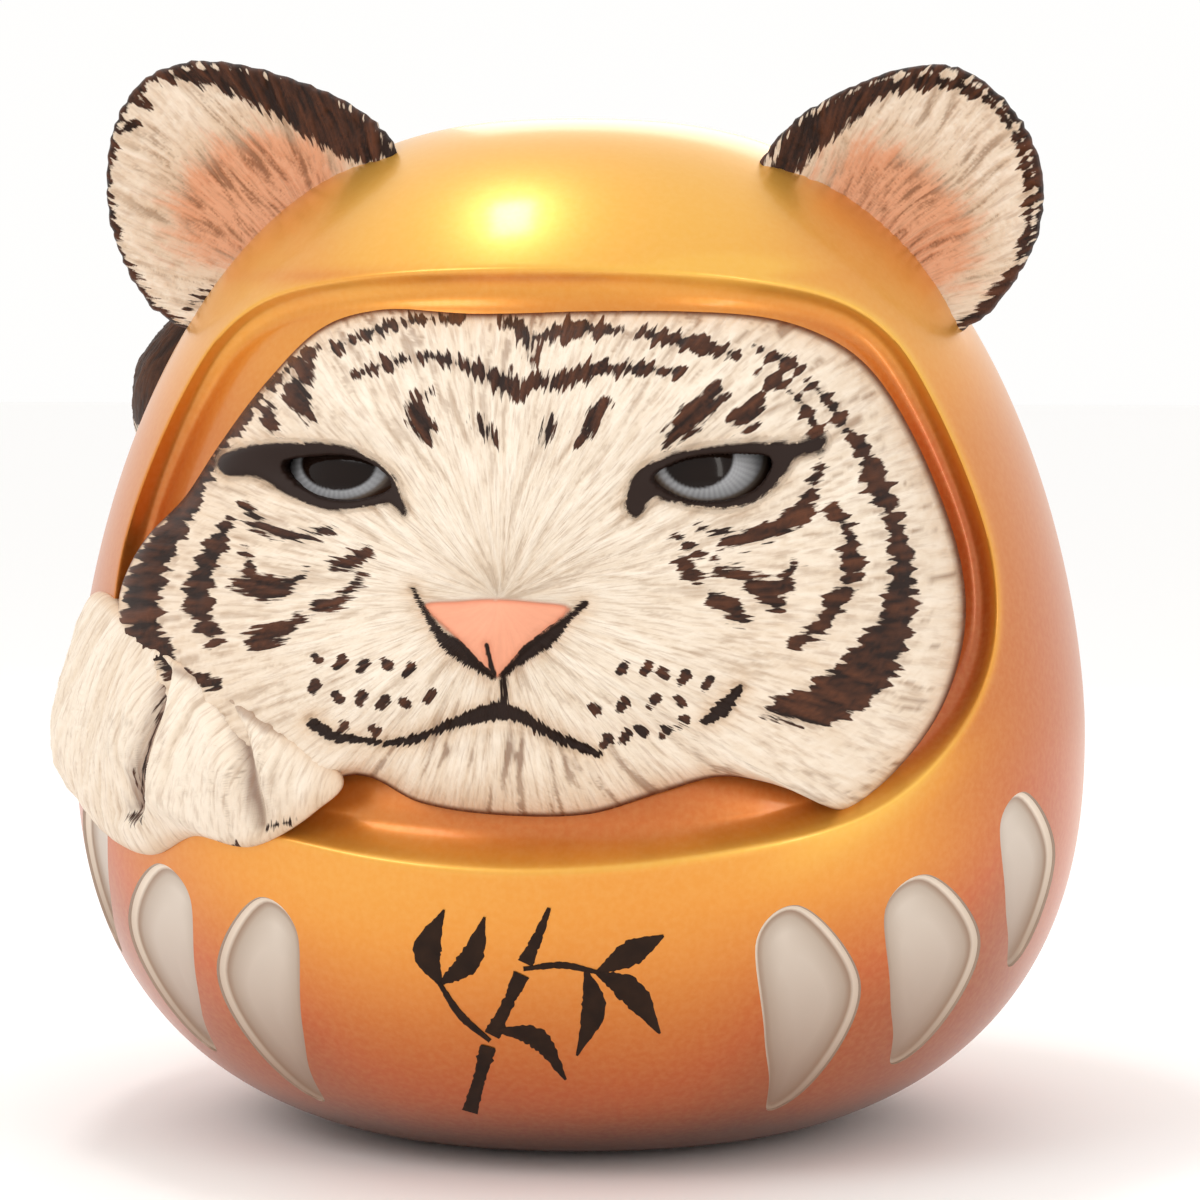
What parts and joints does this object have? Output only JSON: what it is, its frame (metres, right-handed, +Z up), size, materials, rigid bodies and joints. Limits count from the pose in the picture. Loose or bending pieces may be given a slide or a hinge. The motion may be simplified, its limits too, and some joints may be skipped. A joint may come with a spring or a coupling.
{
  "type": "daruma doll",
  "caption": "Egg-shaped gold doll with a tiger's face in a bevelled window, two furry ears, a paw over the sill, a tail on the back and a weighted foot.",
  "frame": {"origin": "middle of the flat face of the foot pad, on the surface the doll stands on", "axes": "+Z up; -Y out of the face window, the doll's front; +X to the doll's left"},
  "size_m": [0.1116, 0.1157, 0.1137],
  "materials": {
    "gold": "satin metallic gold paint over cast resin",
    "white_fur": "hand painted ivory fur with dark stripes over cast resin",
    "ear_fur": "hand painted fur, pink inside and dark brown behind, over cast resin",
    "tail_fur": "hand painted striped fur over cast resin",
    "eye": "clear lacquer over a painted eye",
    "plate": "moulded",
    "pad": "foam sheet",
    "iron": "as cast",
    "steel": "plain"
  },
  "bodies": {
    "root": {"shell_front": "gold", "shell_rear": "gold", "head": "white_fur", "eye_right": "eye", "eye_left": "eye", "ear_right": "ear_fur", "ear_left": "ear_fur", "paw": "white_fur", "tail": "tail_fur", "base_plate": "plate", "foot_pad": "pad", "ballast": "iron", "shell_dowel_1": "steel", "shell_dowel_2": "steel", "shell_dowel_3": "steel", "shell_dowel_4": "steel", "ear_pin_right": "steel", "ear_pin_left": "steel", "paw_pin": "steel", "tail_pin": "steel", "head_screw_1": "steel", "head_screw_2": "steel", "head_screw_3": "steel", "head_screw_4": "steel", "base_screw_1": "steel", "base_screw_2": "steel", "base_screw_3": "steel", "base_screw_4": "steel", "ballast_screw": "steel"}
  },
  "joints": []
}
